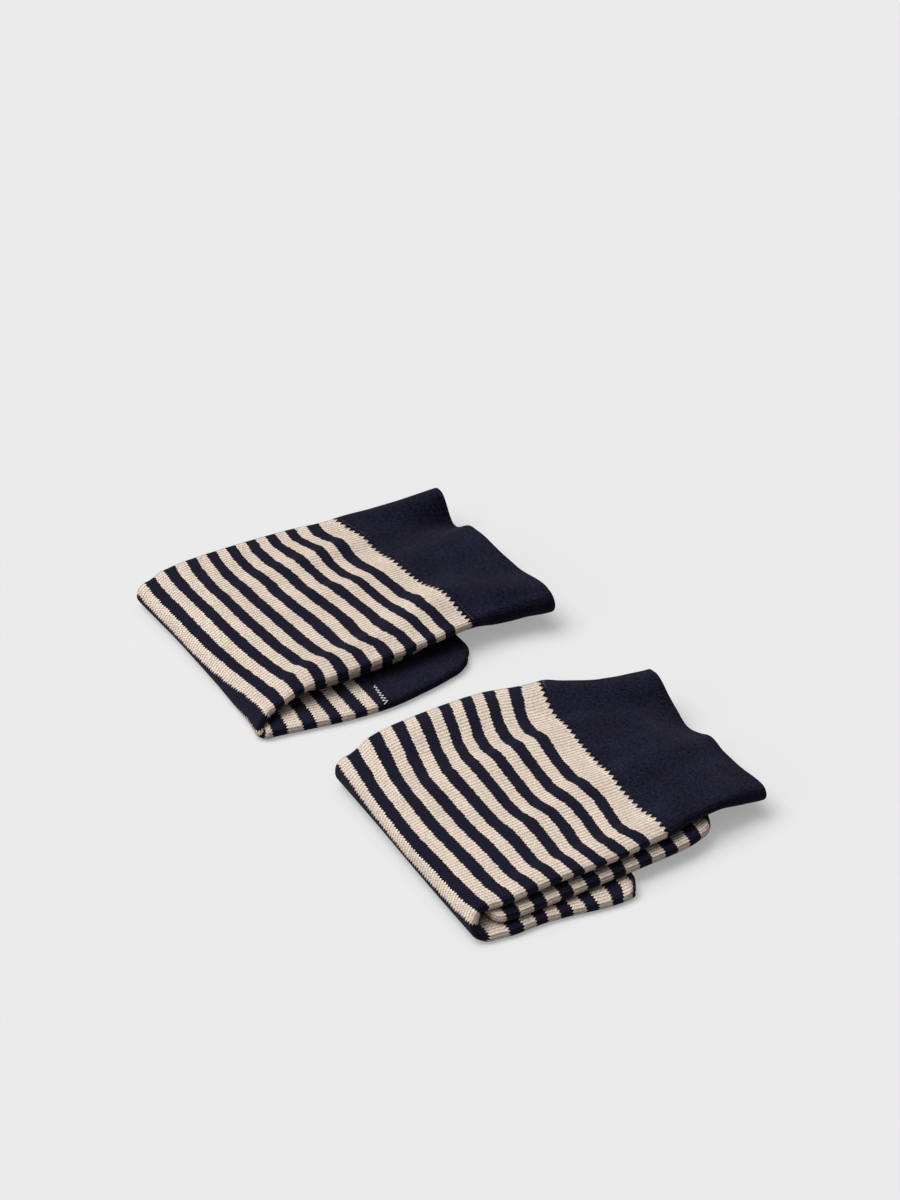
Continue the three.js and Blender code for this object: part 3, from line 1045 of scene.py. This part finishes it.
def materials(settings):
    if "Knit stitches" not in bpy.data.node_groups:
        stitch_group()
        yarn_and_shade_group()
        knit_material("Striped knit", True, settings)
        knit_material("Navy knit", False, settings)
    return bpy.data.materials["Striped knit"], bpy.data.materials["Navy knit"]


def across(wale, wales):
    """Share of the way from the far edge to the near edge."""
    return np.where(wale > wales / 2, wales - wale, wale) / (wales / 2)


def drift(sock, walked, share):
    """How far the stripes run ahead, with a soft corner at each row of the table."""
    knots = sock.drift.cells["x"]
    lines = [np.interp(share, knots, sock.drift.cells[name]) for name in DRIFT_COLUMNS.split()[1:]]
    total = lines[0] * smooth((walked - DRIFT_START) / DRIFT_RISE)
    for place, past, before, line in zip(DRIFT_PLACES, DRIFT_PLACES[1:], lines, lines[1:]):
        total = total + (line - before) * smooth((walked - place) / (past - place))
    return total


def stripe_count(sock, walked, wale, wales):
    """Stripe pairs counted from the end of the last navy stripe towards the cuff."""
    share = across(wale, wales)
    walked = walked + 0 * share
    walked = walked - drift(sock, walked, share)
    near = smooth((share - FAR_COLUMN_SHARE) / PASSING_SHARE)
    far_count = sock.stripes.read("far", walked)
    return far_count + (sock.stripes.read("near", walked) - far_count) * near


def edge_shift(wave, wale, wales, distance, reach):
    """How far a knitted border wanders, fading with the distance from it."""
    return wave.read("shift", across(wale, wales)) * smooth(1 - distance.reshape(-1, 1) / reach)


def fold_lean(sock, run, wale, wales):
    """How far the foot of the fold is pushed out, easing off along the lower run."""
    eased = smooth(run.angle / LEAN_TURN) * smooth(1 - (run.x - sock.fold_x) / LEAN_LENGTH)
    return sock.fold_slump.read("out", across(wale, wales)) * eased


def leg_skin(sock, wale, wales, rows, out):
    """One face of the leg's knit, with the stripe count at each place."""
    run, walked = leg_run(sock, *rows)
    places = tube(sock, run, wale, wales, out)
    to_cuff = edge_shift(sock.cuff_wave, wale, wales, walked[1] - walked, BORDER_REACH)
    to_heel = edge_shift(sock.heel_wave, wale, wales, walked - walked[-1], HEEL_REACH)
    places[..., 0] += to_cuff + to_heel - fold_lean(sock, run, wale, wales)
    return places, stripe_count(sock, walked.reshape(-1, 1), wale, wales), walked


def make_leg(sock, settings):
    wales = settings.needles
    wale = columns(wales, WALE_POINTS)
    cloth = settings.leg_cloth / MM
    grooves = rib_grooves(wale, settings.rib_depth / MM)
    outer, outer_count, walked = leg_skin(sock, wale, wales, LEG_ROWS[0], grooves)
    inner, inner_count, _ = leg_skin(sock, wale, wales, LEG_ROWS[1], 0 * wale - cloth)
    places = np.concatenate((outer, inner[::-1]))
    piece = Cloth()
    piece.grid(places, wale, np.concatenate((outer_count, inner_count[::-1])), wrap_rows=True)
    girth = 2 * (sock.leg.read("far", 0) - sock.leg.read("near", 0))
    length = walked[0] - walked[-1]
    return piece.build(f"{sock.name}_leg_knit", materials(settings)[0]), (girth, length)


def make_cuff(sock, settings):
    wales = settings.needles
    wale = columns(wales, WALE_POINTS)
    first, last = sock.cuff.ends()
    cloth = settings.cuff_cloth / MM
    lip = cloth / 2
    x = np.linspace(first + CUFF_START, last - lip, CUFF_ROWS)
    lip_x = last - lip + lip * np.sin(LIP_TURN)
    path_x = np.concatenate((x, lip_x, lip_x[-2::-1], x[::-1]))
    depth = HEM_CLOTH + (cloth - HEM_CLOTH) * smooth((x - first - HEM_LENGTH) / HEM_RISE)
    lip_out = -lip + lip * np.cos(LIP_TURN)
    path_out = np.concatenate((0 * x, lip_out, -cloth - lip_out[-2::-1], -depth[::-1]))
    sides = ("far", "near", "slant", "lead", "far_half", "near_half")
    run = Run(
        len(path_x),
        x=path_x,
        z=sock.cuff.read("top", path_x) - CUFF_HALF,
        half=CUFF_HALF,
        share=1,
        **{name: sock.cuff.read(name, path_x) for name in sides},
    )
    path_x = path_x.reshape(-1, 1)
    path_out = path_out.reshape(-1, 1)
    outer_face = path_out > -0.01
    grooves = rib_grooves(wale, settings.rib_depth / MM) * outer_face
    places = tube(sock, run, wale, wales, path_out + grooves)
    edge = np.abs(wale / 2 % 1 - 0.5) * 2
    from_hem = path_x - first - CUFF_START
    tooth = TOOTH_LENGTH * edge**TOOTH_POINT * smooth(1 - from_hem / TOOTH_REACH)
    places[..., 0] += edge_shift(sock.cuff_wave, wale, wales, path_x - first, BORDER_REACH) - tooth
    piece = Cloth()
    piece.grid(places, wale, path_x / STRIPE_PAIR + 0 * wale, wrap_rows=True)
    girth = 2 * (sock.cuff.read("far", CUFF_GIRTH_AT) - sock.cuff.read("near", CUFF_GIRTH_AT))
    return piece.build(f"{sock.name}_cuff_knit", materials(settings)[1]), (girth, last - first)


def closing(x, end, radius):
    """How much of its thickness a tube keeps as it closes to a rounded end."""
    share = np.clip(1 - np.abs(end - x) / radius, 0, 1)
    return np.sqrt(np.maximum(0, 1 - share**2))


def make_heel(sock, settings):
    wales = settings.needles
    wale = columns(wales, WALE_POINTS)
    first = sock.heel_border + HEEL_START
    last = sock.heel.ends()[1]
    cloth = settings.leg_cloth / MM

    def skin(end, sunk, rows):
        share = np.sin(math.pi / 2 * np.linspace(0, 1, rows))
        x = first + (end - first) * share
        half = (sock.heel.read("half", x) - sunk) * closing(x, end, HEEL_END - sunk)
        return x, Run(
            rows,
            x=x,
            z=sock.heel.read("half", x),
            angle=math.pi,
            far=below_side(sock, "far", x) - sunk,
            near=below_side(sock, "near", x) + sunk,
            slant=below_side(sock, "slant", x),
            half=half,
        )

    outer_x, outer_run = skin(last, 0, HEEL_ROWS[0])
    inner_x, inner_run = skin(last - cloth, cloth, HEEL_ROWS[1])
    fade = smooth((last - outer_x - PLAIN_END) / GROOVE_FADE).reshape(-1, 1)
    outer = tube(sock, outer_run, wale, wales, rib_grooves(wale, settings.rib_depth / MM) * fade)
    inner = tube(sock, inner_run, wale, wales, 0 * wale)
    for places, x in ((outer, outer_x), (inner, inner_x)):
        places[..., 0] += edge_shift(sock.heel_wave, wale, wales, x - first, HEEL_REACH)
    piece = Cloth()
    places = np.concatenate((outer[::-1], inner))
    x = np.concatenate((outer_x[::-1], inner_x)).reshape(-1, 1)
    piece.grid(places, wale, x / STRIPE_PAIR + 0 * wale)
    made = piece.build(f"{sock.name}_heel_knit", materials(settings)[1])
    weld(made)
    middle = (first + last) / 2
    girth = 2 * (below_side(sock, "far", middle) - below_side(sock, "near", middle))
    return made, (girth, last - first + (math.pi / 2 - 1) * HEEL_END)


def make_thread(sock, settings):
    """The pale thread that shows as a zigzag where the heel starts, wider towards the near edge."""
    first_wale = settings.needles / 2 + 1.3
    wales_apart = 0.62
    step = np.arange(THREAD_STITCHES)
    wale = (first_wale + wales_apart * step).reshape(-1, 1)
    start = np.linspace(-1.5, 0.2, THREAD_STITCHES)
    width = np.linspace(1.9, 0.7, THREAD_STITCHES)
    x = sock.heel_border + start + width * (step % 2)
    run = Run(
        THREAD_STITCHES,
        x=x,
        z=LEG_HALF,
        angle=math.pi,
        far=below_side(sock, "far", x),
        near=below_side(sock, "near", x),
        slant=below_side(sock, "slant", x),
        half=LEG_HALF,
    )
    places = (tube(sock, run, wale, settings.needles, THREAD_OUT)[:, 0] - MIDDLE) * MM
    name = f"{sock.name}_thread"
    curve = bpy.data.curves.new(name, "CURVE")
    curve.dimensions = "3D"
    curve.bevel_depth = THREAD_RADIUS * MM
    curve.bevel_resolution = 2
    line = curve.splines.new("POLY")
    line.points.add(THREAD_STITCHES - 1)
    for point, place in zip(line.points, places):
        point.co = (*place, 1)
    drawn = add_object(name, curve)
    evaluated = drawn.evaluated_get(bpy.context.evaluated_depsgraph_get())
    mesh = bpy.data.meshes.new_from_object(evaluated)
    bpy.data.objects.remove(drawn)
    bpy.data.curves.remove(curve)
    mesh.name = name
    mesh.materials.clear()
    mesh.materials.append(thread_material(settings))
    return add_object(name, mesh)


def make_foot(sock, settings):
    wales = settings.needles
    wale = columns(wales, FOOT_WALE_POINTS)
    first, last = sock.foot.ends()
    cloth = settings.leg_cloth / MM
    half = (sock.foot_top - sock.foot_base) / 2
    middle = (sock.foot_top + sock.foot_base) / 2

    def skin(sunk, rows):
        start = first + sunk
        end = last - sunk
        share = (1 - np.cos(math.pi * np.linspace(0, 1, rows))) / 2
        x = start + (end - start) * share
        thin = (half - sunk) * closing(x, end, half) * closing(x, start, half)
        return x, Run(
            rows,
            x=x,
            z=middle,
            far=sock.foot.read("far", x) - sunk,
            near=sock.foot.read("near", x) + sunk,
            half=thin,
        )

    piece = Cloth()
    grooves = rib_grooves(wale, settings.rib_depth / MM)
    outer_x, outer_run = skin(0, FOOT_ROWS[0])
    from_end = np.minimum(last - outer_x, outer_x - first)
    fade = smooth((from_end - PLAIN_END) / GROOVE_FADE)
    outer = tube(sock, outer_run, wale, wales, grooves * fade.reshape(-1, 1))
    stripe, stripe_x, pair = sock.foot_stripes
    courses = (outer_x.reshape(-1, 1) - stripe_x) / pair + stripe + 0 * wale
    piece.grid(outer, wale, courses)
    inner_x, inner_run = skin(cloth, FOOT_ROWS[1])
    inner = tube(sock, inner_run, wale, wales, 0 * wale)[::-1]
    piece.grid(inner, wale, inner_x[::-1].reshape(-1, 1) / STRIPE_PAIR + 0 * wale)
    made = piece.build(f"{sock.name}_foot_knit", materials(settings)[0])
    weld(made)
    girth = 2 * (sock.foot.read("far", 0) - sock.foot.read("near", 0))
    return made, (girth, last - first)


def knit_both(context, make, part):
    """Makes one part of both socks, hangs each piece on the root body and hides the solid that it
    replaces.
    """
    for sock in (SOCK_1, SOCK_2):
        piece, (girth, length) = make(sock, context.scene.knit)
        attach(piece, "root")
        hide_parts(f"{sock.name}_{part}")
    return {"FINISHED"}


class SOCKS_OT_legs(Operator):
    """Knits the two striped legs, each folded back on itself"""

    bl_idname = "socks.legs"
    bl_label = "Legs"

    def execute(self, context):
        return knit_both(context, make_leg, "leg")


class SOCKS_OT_cuffs(Operator):
    """Knits the two doubled navy cuffs"""

    bl_idname = "socks.cuffs"
    bl_label = "Cuffs"

    def execute(self, context):
        return knit_both(context, make_cuff, "cuff")


class SOCKS_OT_heels(Operator):
    """Knits the two navy heel pouches"""

    bl_idname = "socks.heels"
    bl_label = "Heels"

    def execute(self, context):
        return knit_both(context, make_heel, "heel")


class SOCKS_OT_thread(Operator):
    """Sews the pale thread beside the heel that shows"""

    bl_idname = "socks.thread"
    bl_label = "Heel thread"

    def execute(self, context):
        piece = make_thread(SOCK_1, context.scene.knit)
        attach(piece, "root")
        return {"FINISHED"}


class SOCKS_OT_feet(Operator):
    """Knits the two feet, which lie between the runs of each sock"""

    bl_idname = "socks.feet"
    bl_label = "Feet"

    def execute(self, context):
        return knit_both(context, make_foot, "foot")


def floor_material(stage):
    material, shader = new_material("Table top")
    socket_value(shader, "Base Color", (*stage.floor, 1))
    socket_value(shader, "Roughness", 1.0)
    socket_value(shader, "Specular IOR Level", 0.0)
    socket_value(shader, "Emission Color", (1, 1, 1, 1))
    graph = Graph(material.node_tree)
    seen = graph.node("ShaderNodeLightPath").outputs["Is Camera Ray"]
    graph.link(graph.math("MULTIPLY", seen, stage.floor_glow), shader.inputs["Emission Strength"])
    return material


def make_floor(stage):
    side = stage.floor_side / 2
    mesh = bpy.data.meshes.new("table_top")
    corners = [(x * side, y * side, FLOOR_HEIGHT) for x, y in ((-1, -1), (1, -1), (1, 1), (-1, 1))]
    mesh.from_pydata(corners, [], [(0, 1, 2, 3)])
    mesh.materials.append(floor_material(stage))
    add_object("table_top", mesh)


def make_sun(name, strength, spread, towards):
    light = bpy.data.lights.new(name, "SUN")
    light.energy = strength
    light.angle = spread
    lamp = add_object(name, light)
    lamp.rotation_mode = "QUATERNION"
    lamp.rotation_quaternion = Vector(towards).to_track_quat("Z", "Y")


def make_light(stage):
    """Even light from all round, a soft light from the far left, a broad one from above and a
    low one from the left. The backdrop that the camera sees is as pale as the table top."""
    world = bpy.data.worlds.new("Even light")
    world.use_nodes = True
    graph = Graph(world.node_tree)
    background = next(n for n in world.node_tree.nodes if n.type == "BACKGROUND")
    seen = graph.node("ShaderNodeLightPath").outputs["Is Camera Ray"]
    strength = graph.node("ShaderNodeMapRange")
    graph.link(seen, strength.inputs["Value"])
    socket_value(strength, "To Min", stage.sky_strength)
    socket_value(strength, "To Max", stage.backdrop)
    socket_value(background, "Color", (1, 1, 1, 1))
    graph.link(strength.outputs["Result"], background.inputs["Strength"])
    bpy.context.scene.world = world
    make_sun("Soft key", stage.key_strength, stage.key_spread, KEY_FROM)
    make_sun("Broad top", stage.top_strength, TOP_SPREAD, TOP_FROM)
    make_sun("Low side", stage.side_strength, SIDE_SPREAD, SIDE_FROM)


def make_camera(stage):
    camera = bpy.data.cameras.new("Camera")
    camera.lens = stage.lens
    camera.sensor_width = 36
    camera.clip_end = 50
    holder = add_object("Camera", camera)
    flat = math.cos(stage.elevation)
    sideways = math.sin(stage.azimuth) * flat
    back = Vector((sideways, -math.cos(stage.azimuth) * flat, math.sin(stage.elevation)))
    target = (Vector(CAMERA_TARGET) - Vector(MIDDLE)) * MM
    holder.location = target + back * stage.distance
    holder.rotation_mode = "QUATERNION"
    holder.rotation_quaternion = back.to_track_quat("Z", "Y")
    bpy.context.scene.camera = holder
    bpy.context.scene.view_settings.view_transform = "Standard"


class SOCKS_OT_stage(Operator):
    """Sets the pale table top, the soft light and the camera"""

    bl_idname = "socks.stage"
    bl_label = "Stage"

    def execute(self, context):
        stage = context.scene.sock_stage
        make_camera(stage)
        make_floor(stage)
        make_light(stage)
        return {"FINISHED"}


class SOCKS_PT_panel(Panel):
    """Lists the steps that make the pair of socks"""

    bl_idname = "SOCKS_PT_panel"
    bl_label = "Pair of socks"
    bl_space_type = "VIEW_3D"
    bl_region_type = "UI"
    bl_category = "Socks"

    def draw(self, context):
        for group in (context.scene.knit, context.scene.sock_stage):
            for name in group.__annotations__:
                self.layout.prop(group, name)
        for step in OPERATORS:
            self.layout.operator(step.bl_idname)


OPERATORS = (
    SOCKS_OT_stage,
    SOCKS_OT_legs,
    SOCKS_OT_cuffs,
    SOCKS_OT_heels,
    SOCKS_OT_thread,
    SOCKS_OT_feet,
)
CLASSES = (KnitSettings, StageSettings, *OPERATORS, SOCKS_PT_panel)


def register():
    for item in CLASSES:
        bpy.utils.register_class(item)
    bpy.types.Scene.knit = PointerProperty(type=KnitSettings)
    bpy.types.Scene.sock_stage = PointerProperty(type=StageSettings)


def unregister():
    del bpy.types.Scene.sock_stage
    del bpy.types.Scene.knit
    for item in reversed(CLASSES):
        bpy.utils.unregister_class(item)


def main():
    register()
    for step in OPERATORS:
        group, name = step.bl_idname.split(".")
        getattr(getattr(bpy.ops, group), name)()


if __name__ == "__main__":
    main()
